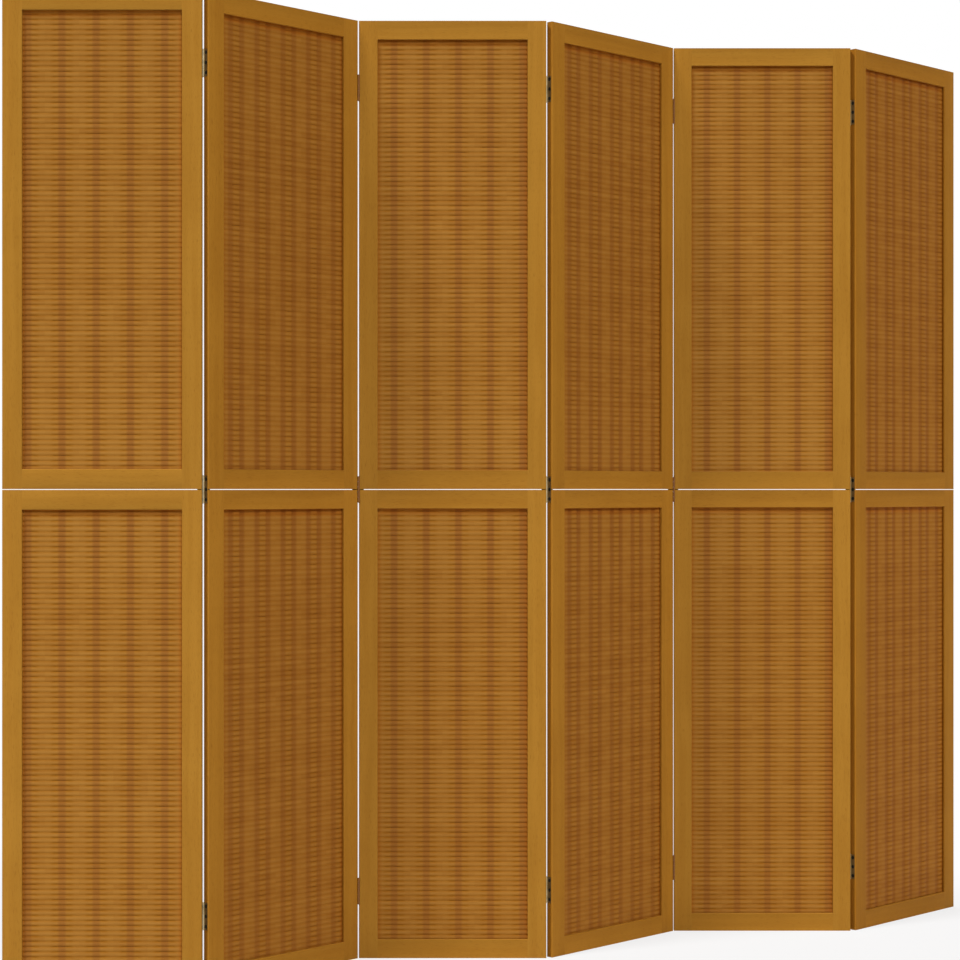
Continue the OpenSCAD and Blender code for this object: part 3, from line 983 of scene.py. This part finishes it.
@dataclass
class StripLayer:
    """The Geometry Nodes that grow one face of a filling: level strips, shaped by the stakes.

    Each strip is a closed tube of five points around: its lower edge, two shoulders, its upper
    edge and its back. Its stations stand in knots around every stake, and the open span starts
    some knot steps past a stake.
    """

    ring: int = 5
    knots_each_side: int = 4
    span_start: float = 2.0
    shoulder_share: float = 0.5
    end_step: float = 0.2 * MM
    out_chance: float = 0.05 * MM
    out_seed: int = 11
    height_chance: float = 0.12 * MM
    height_seed: int = 3
    crossings_per_row: float = 16.0

    def __post_init__(self) -> None:
        """Open the tree, with a named input for each size."""
        inputs = dict.fromkeys(("Rows", "Stakes", "Seed"), (INT, 0))
        inputs |= dict.fromkeys((
            "Row Pitch", "Foot", "Start", "Half Length", "Stake Pitch", "First Stake", "Over Half",
            "Knot Step", "Thickness", "Side", "Rungs"), (FLOAT, 0.0))
        inputs |= {f"{word} {zone}": (FLOAT, 0.0) for word in SIZE_WORDS for zone in ZONES}
        inputs["Finish"] = (MATERIAL, None)
        self.sketch, given, self.result = open_group(
            "strip_layer", "GeometryNodeTree", inputs, {"Strips": GEOMETRY})
        self.get, self.do = given.outputs, self.sketch.math
        self.stations = self.do("MULTIPLY_ADD", self.get["Stakes"], 2.0 * self.knots_each_side, 2.0)

    def build(self) -> bpy.types.NodeTree:
        """Fill the tree.

        Returns:
            The node group.
        """
        do, get, sketch = self.do, self.get, self.sketch
        point, station, row = self.numbers()
        along = self.place_along(station)
        across, stand = self.place_around(point, *self.zones(along))
        crossing = self.crossing(along, row)
        stand = do("ADD", stand, self.chance(self.out_chance, crossing, self.out_seed))
        lift = do("ADD", across, self.chance(self.height_chance, crossing, self.height_seed))
        rise = do("MULTIPLY_ADD", do("ADD", row, 0.5), get["Row Pitch"], get["Start"])
        place = sketch.point(along, do("MULTIPLY", stand, get["Side"]),
                             do("ADD", do("ADD", rise, get["Foot"]), lift))
        shape = sketch.out("GeometryNodeSetPosition", {
            "Geometry": self.tubes(), "Position": place})
        for name, kind, socket_kind, value in (
                (STRIP_PLACE, "FLOAT_VECTOR", "VECTOR", sketch.point(along, across, rise)),
                (STRIP_FACE, "FLOAT", "VALUE", get["Rungs"])):
            marked = sketch.add("GeometryNodeStoreNamedAttribute", data_type=kind, domain="POINT",
                                inputs={"Geometry": shape, "Name": name})
            sketch.feed(sketch.pick(marked.inputs, "Value", socket_kind), value)
            shape = marked.outputs[0]
        real = sketch.out("GeometryNodeRealizeInstances", {0: shape})
        dressed = sketch.out("GeometryNodeSetMaterial", {
            "Geometry": real, "Material": get["Finish"]})
        sketch.fill(self.result, {"Strips": dressed})
        return sketch.tree

    def tubes(self) -> Socket:
        """Make a plain tube for each row, with a ring of points at every station.

        Returns:
            The tubes.
        """
        out = self.sketch.out
        path = out("GeometryNodeCurvePrimitiveLine", {"End": (1.0, 0.0, 0.0)})
        stops = out("GeometryNodeResampleCurve", {"Curve": path, "Count": self.stations})
        section = out("GeometryNodeCurvePrimitiveCircle", {"Resolution": self.ring})
        tube = out("GeometryNodeCurveToMesh", {
            "Curve": stops, "Profile Curve": section, "Fill Caps": True})
        rows = out("GeometryNodeMeshLine", {"Count": self.get["Rows"]})
        copies = out("GeometryNodeInstanceOnPoints", {"Points": rows, "Instance": tube})
        return out("GeometryNodeRealizeInstances", {0: copies})

    def numbers(self) -> tuple:
        """Number each point in its ring, its station and its row, all from 0.

        Returns:
            The three numbers.
        """
        do = self.do
        index = self.sketch.out("GeometryNodeInputIndex")
        rings = do("FLOOR", do("DIVIDE", do("ADD", index, 0.5), float(self.ring)))
        row = do("FLOOR", do("DIVIDE", do("ADD", rings, 0.5), self.stations))
        return do("MODULO", index, float(self.ring)), do("MODULO", rings, self.stations), row

    def place_along(self, station: Socket) -> Socket:
        """Find where a station stands: in the knots of a stake, or at an end of the strip.

        Args:
            station: The station's number.

        Returns:
            The place along the strip.
        """
        do, get, knots = self.do, self.get, 2.0 * self.knots_each_side
        knot = do("SUBTRACT", station, 1.0)
        stake = do("FLOOR", do("DIVIDE", do("ADD", knot, 0.5), knots))
        from_middle = do("SUBTRACT", do("MULTIPLY_ADD", stake, -knots, knot),
                         self.knots_each_side - 0.5)
        step = do("SUBTRACT", do("ABSOLUTE", from_middle), 0.5)
        reach = do("MULTIPLY_ADD", step, get["Knot Step"], get["Over Half"])
        middle = do("MULTIPLY_ADD", stake, get["Stake Pitch"], get["First Stake"])
        along = do("MULTIPLY_ADD", do("SIGN", from_middle), reach, middle)
        last = do("SUBTRACT", self.stations, 1.0)
        left = do("SUBTRACT", do("MULTIPLY", station, self.end_step), get["Half Length"])
        right = do("MULTIPLY_ADD", do("SUBTRACT", last, station), -self.end_step,
                   get["Half Length"])
        along = do("SUBTRACT", along, do("LESS_THAN", station, 0.5))
        along = do("ADD", along, do("GREATER_THAN", station, do("SUBTRACT", last, 0.5)))
        return do("MINIMUM", do("MAXIMUM", along, left), right)

    def zones(self, along: Socket) -> tuple:
        """Find how far a place has left its stake, and how far it is on the open span.

        Args:
            along: The place along the strip.

        Returns:
            The two shares, each from 0 to 1.
        """
        do, get = self.do, self.get
        away = do("PINGPONG", do("SUBTRACT", along, get["First Stake"]),
                  do("MULTIPLY", get["Stake Pitch"], 0.5))
        past = do("SUBTRACT", away, get["Over Half"])
        off_stake = do("DIVIDE", past, get["Knot Step"], clamp=True)
        on_span = do("SUBTRACT", do("DIVIDE", past, get["Knot Step"]), self.span_start, clamp=True)
        return off_stake, on_span

    def size(self, word: str, off_stake: Socket, on_span: Socket) -> Socket:
        """Return a size that changes along the strip from zone to zone."""
        over, beside, span = (self.get[f"{word} {zone}"] for zone in ZONES)
        return self.sketch.between(self.sketch.between(over, beside, off_stake), span, on_span)

    def place_around(self, point: Socket, off_stake: Socket, on_span: Socket) -> tuple:
        """Find where a point of a ring lies: 0 and 3 are edges, 1 and 2 shoulders, 4 the back.

        Args:
            point: The point's number in its ring.
            off_stake: How far the place has left its stake, from 0 to 1.
            on_span: How far it is on the open span, from 0 to 1.

        Returns:
            Its height over the strip's middle line, and how far it stands out.
        """
        do, get = self.do, self.get
        crest, crown, gap = (self.size(word, off_stake, on_span) for word in SIZE_WORDS)
        half = do("MULTIPLY", do("SUBTRACT", get["Row Pitch"], gap), 0.5)
        is_front = do("SUBTRACT", 1.0, do("GREATER_THAN", point, 3.5))
        is_shoulder = do("LESS_THAN", do("ABSOLUTE", do("SUBTRACT", point, 1.5)), 1.0)
        sign = do("MULTIPLY_ADD", do("GREATER_THAN", point, 1.5), 2.0, -1.0)
        share = do("MULTIPLY_ADD", is_shoulder, self.shoulder_share - 1.0, 1.0)
        across = do("MULTIPLY", do("MULTIPLY", sign, share), do("MULTIPLY", is_front, half))
        back = do("SUBTRACT", do("SUBTRACT", crest, crown), get["Thickness"])
        front = do("MULTIPLY_ADD", is_shoulder, crown, get["Thickness"])
        return across, do("MULTIPLY_ADD", is_front, front, back)

    def crossing(self, along: Socket, row: Socket) -> Socket:
        """Number the stake that a place is nearest to, over all rows.

        Args:
            along: The place along the strip.
            row: The row's number.

        Returns:
            The number.
        """
        do, get = self.do, self.get
        start = do("SUBTRACT", get["First Stake"], do("MULTIPLY", get["Stake Pitch"], 0.5))
        stake = do("FLOOR", do("DIVIDE", do("SUBTRACT", along, start), get["Stake Pitch"]))
        return do("MULTIPLY_ADD", row, self.crossings_per_row, stake)

    def chance(self, spread: float, number: Socket, extra: int) -> Socket:
        """Find a value that a number fixes, within a spread either way.

        Args:
            spread: The spread.
            number: The number.
            extra: What is added to the seed.

        Returns:
            The value.
        """
        sketch = self.sketch
        node = sketch.add("FunctionNodeRandomValue", data_type="FLOAT")
        sketch.feed(sketch.pick(node.inputs, "Min"), -spread)
        sketch.feed(sketch.pick(node.inputs, "Max"), spread)
        sketch.fill(node, {"ID": number, "Seed": self.do("ADD", self.get["Seed"], float(extra))})
        return sketch.pick(node.outputs, "Value")


@dataclass(frozen=True)
class WovenFilling:
    """The woven filling of one frame: a front layer and a back layer of strips."""

    leaf: Leaf
    tier: Tier
    tree: bpy.types.NodeTree
    finish: bpy.types.Material
    shape: WeaveShape = WeaveShape()
    sharp_from: float = math.radians(50)
    lower_shade_share: float = 0.15

    def build(self) -> bpy.types.Object:
        """Make the strips, and put them in their frame. The first leaf's are laid in mirror.

        Returns:
            The finished object, riding on its body.
        """
        leaf = self.leaf
        front, back = (FLAT_FACE, RUNG_FACE) if leaf.is_odd else (RUNG_FACE, FLAT_FACE)
        name = f"{leaf.body}_{self.tier.value}_woven_strips"
        layers = [self.layer(f"{name}_front", front, -1.0), self.layer(f"{name}_back", back, 1.0)]
        work = bmesh.new()
        for mesh in layers:
            work.from_mesh(mesh)
        bmesh.ops.recalc_face_normals(work, faces=work.faces)
        for face in work.faces:
            face.smooth = True
        mesh = bpy.data.meshes.new(name)
        work.to_mesh(mesh)
        work.free()
        mesh.transform(leaf.place @ Matrix.Diagonal((-1 if leaf.is_first else 1, 1, 1, 1)))
        if leaf.is_first:
            mesh.flip_normals()
        mesh.set_sharp_from_angle(angle=self.sharp_from)
        mesh.materials.append(self.finish)
        # Painted shade: the lower fillings of the inner odd leaves take more of the shade tint.
        extra = self.lower_shade_share * (self.tier is Tier.LOWER and leaf.is_inner_odd)
        mark(mesh, LEAF_SHADE_SHARE, np.full(len(mesh.vertices), leaf.shade_share + extra))
        obj = place_object(name, mesh)
        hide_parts(leaf.node(self.tier, "weave"))
        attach(obj, leaf.body)
        return obj

    def layer(self, name: str, relief: FaceRelief, side: float) -> bpy.types.Mesh:
        """Grow the strips of one face.

        Args:
            name: A name for the layer.
            relief: How its strips lie.
            side: -1 for the front face and 1 for the back face.

        Returns:
            The layer's mesh, in the leaf's own axes.
        """
        shape, is_back = self.shape, side > 0
        start = shape.lowest_edge(self.leaf, self.tier, is_back)
        frame_number = 2 * self.leaf.number + (self.tier is Tier.UPPER)
        values = {
            "Rows": math.floor((shape.groove_top - start) / shape.row_pitch),
            "Row Pitch": shape.row_pitch, "Foot": self.leaf.foot(self.tier), "Start": start,
            "Half Length": shape.half_length, "Stakes": shape.stakes,
            "Stake Pitch": shape.stake_pitch, "First Stake": shape.first_stake,
            "Over Half": shape.over_half, "Knot Step": shape.knot_step,
            "Thickness": shape.thickness, "Side": side, "Rungs": float(relief.has_rungs),
            "Seed": shape.seed + 2 * frame_number + is_back, "Finish": self.finish}
        for word, sizes in zip(SIZE_WORDS, (relief.crest, relief.crown, relief.gap)):
            values |= {f"{word} {zone}": value for zone, value in zip(ZONES, sizes)}
        obj = place_object(name, bpy.data.meshes.new(name))
        grow = obj.modifiers.new("strips", "NODES")
        grow.node_group = self.tree
        for item in self.tree.interface.items_tree:
            if item.in_out == "INPUT":
                grow[item.identifier] = values[item.name]
        keep_mesh(obj)
        mesh = obj.data
        bpy.data.objects.remove(obj)
        return mesh


@dataclass(frozen=True)
class Hardware:
    """The plates, pins and screws, and the stakes: nodes that keep their own shape."""

    finishes: dict[str, bpy.types.Material]

    def dress(self) -> list[bpy.types.Object]:
        """Give each node of the hardware its material.

        Returns:
            The dressed objects.
        """
        dressed = []
        for name, obj in sorted(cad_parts.items()):
            for word, material in self.finishes.items():
                if name.endswith(word):
                    obj.data.materials.clear()
                    obj.data.materials.append(material)
                    dressed.append(obj)
        return dressed


# Studio


@dataclass(frozen=True)
class Lamp:
    """A distant soft lamp.

    Its bearing is measured from the line to the camera, to the right as the screen is seen, and
    its level is what a white matte face square to it shows.
    """

    name: str
    bearing: float
    climb: float
    level: float
    spread: float
    distance: float = 6.0

    def build(self, view_turn: float) -> None:
        """Hang the lamp.

        Args:
            view_turn: How far the camera is turned about the vertical.
        """
        data = bpy.data.lights.new(self.name, "SUN")
        data.energy = self.level * math.pi
        data.angle = self.spread
        lamp = place_object(self.name, data)
        way = Vector((0, -1, 0))
        way.rotate(Matrix.Rotation(-math.radians(self.climb), 4, "X"))
        way.rotate(Matrix.Rotation(view_turn + math.radians(self.bearing), 4, "Z"))
        lamp.location = self.distance * way
        lamp.rotation_euler = (-way).to_track_quat("-Z", "Y").to_euler()


@dataclass(frozen=True)
class Studio:
    """The camera, the lamps, the floor and the pale surroundings."""

    lens: float = 81.2477
    sensor: float = 36.0
    camera_at: tuple = (-1.705883, -3.874309, 0.9)
    camera_turn: float = math.radians(-22.35)
    shift: tuple = (0.0, 0.00987)
    dome: float = 0.06
    floor_radius: float = 9.0
    floor_sides: int = 96
    floor_colour: tuple = (0.6, 0.6, 0.6, 1.0)
    floor_roughness: float = 0.9
    floor_specular: float = 0.1
    floor_fade: Step = Step(0.9, 3.0, 0.75, 1.0)
    lamps: tuple = (Lamp("left_key", -58, 54, 0.71, math.radians(12)),
                    Lamp("right_key", 25, 50, 0.69, math.radians(20)),
                    Lamp("rear_fill", -165, 40, 0.6, math.radians(40)))

    def build(self) -> None:
        """Set up the whole studio."""
        self.add_camera()
        self.add_surroundings()
        self.add_floor()
        for lamp in self.lamps:
            lamp.build(self.camera_turn)
        bpy.context.scene.view_settings.view_transform = "Standard"

    def add_camera(self) -> None:
        """Place the camera at the photographer's point of view."""
        data = bpy.data.cameras.new("camera")
        data.lens, data.sensor_width = self.lens, self.sensor
        data.shift_x, data.shift_y = self.shift
        camera = place_object("camera", data)
        camera.location = self.camera_at
        camera.rotation_euler = (math.radians(90), 0, self.camera_turn)
        bpy.context.scene.camera = camera

    def add_surroundings(self) -> None:
        """Light the scene evenly from all around, before a white background."""
        world = bpy.data.worlds.new("surroundings")
        world.use_nodes = True
        bpy.context.scene.world = world
        sketch = Sketch(world.node_tree)
        light, white = (sketch.out("ShaderNodeBackground", {
            "Color": (1.0, 1.0, 1.0, 1.0), "Strength": strength}) for strength in (self.dome, 1.0))
        mix = sketch.out("ShaderNodeMixShader", {
            0: self.background_rays(sketch), 1: light, 2: white})
        sketch.add("ShaderNodeOutputWorld", {"Surface": mix})

    @staticmethod
    def background_rays(sketch: Sketch) -> Socket:
        """Return 1 for the rays that show the background: seen straight, in gloss or in glass."""
        path = sketch.add("ShaderNodeLightPath").outputs
        return sketch.math("MAXIMUM", path["Is Camera Ray"], sketch.math(
            "MAXIMUM", path["Is Glossy Ray"], path["Is Transmission Ray"]))

    def add_floor(self) -> None:
        """Lay a round pale floor that fades into the background."""
        mesh = bpy.data.meshes.new("floor")
        work = bmesh.new()
        bmesh.ops.create_circle(work, cap_ends=True, segments=self.floor_sides,
                                radius=self.floor_radius)
        work.to_mesh(mesh)
        work.free()
        floor = place_object("floor", mesh)
        material, sketch, shader = open_material("pale_floor")
        sketch.fill(shader, {"Base Color": self.floor_colour, "Roughness": self.floor_roughness,
                             "Specular IOR Level": self.floor_specular})
        away = sketch.vector("LENGTH", {0: sketch.object_place()})
        fade = sketch.math("MULTIPLY", self.background_rays(sketch),
                           sketch.ramp(away, self.floor_fade))
        glow = sketch.out("ShaderNodeEmission", {"Strength": 1.0})
        mix = sketch.out("ShaderNodeMixShader", {0: fade, 1: shader.outputs[0], 2: glow})
        output = next(node for node in sketch.tree.nodes if node.type == "OUTPUT_MATERIAL")
        sketch.fill(output, {"Surface": mix})
        mesh.materials.append(material)


def hardware_finishes() -> dict[str, bpy.types.Material]:
    """Build the materials of the hardware.

    Returns:
        For the last words of a node's name, its material.
    """
    # Painted shade: brown on the hinges behind the middle of the screen, darker on the plates in
    # front.
    back_shade = tone(128, 78, 20)
    brass = MetalFinish("hinge_plate", clean=tone(206, 192, 160), worn=tone(186, 172, 138),
                        metallic=0.9, roughness=0.34, back_shade=back_shade,
                        front_shade=tone(156, 132, 92))
    steel = MetalFinish("hinge_pin", clean=tone(186, 176, 150), worn=tone(160, 148, 120),
                        metallic=0.8, roughness=0.32, back_shade=back_shade)
    black = MetalFinish("hinge_screw", clean=tone(14, 11, 8), worn=tone(26, 21, 16),
                        metallic=0.0, roughness=0.5)
    return {"hinge_plates": brass.build(), "hinge_pins": steel.build(),
            "hinge_screws": black.build(), "weave_stakes": StakeFinish().build()}


def main() -> None:
    """Build the studio and the screen, leaf by leaf."""
    logging.basicConfig(level=logging.INFO, format="%(name)s: %(message)s")
    Studio().build()
    timber = TimberFinish().build()
    strip = StripFinish().build()
    made = Hardware(hardware_finishes()).dress()
    layer = StripLayer().build()
    for number in range(1, Leaf.count + 1):
        leaf = Leaf(number)
        for tier in Tier:
            made += [TimberPart(leaf, tier, run, timber).build() for run in Run]
            made.append(WovenFilling(leaf, tier, layer, strip).build())
    for obj in made:
        LOG.info("%s: %d faces", obj.name, len(obj.data.polygons))
    bpy.context.view_layer.update()


if __name__ == "__main__":
    main()
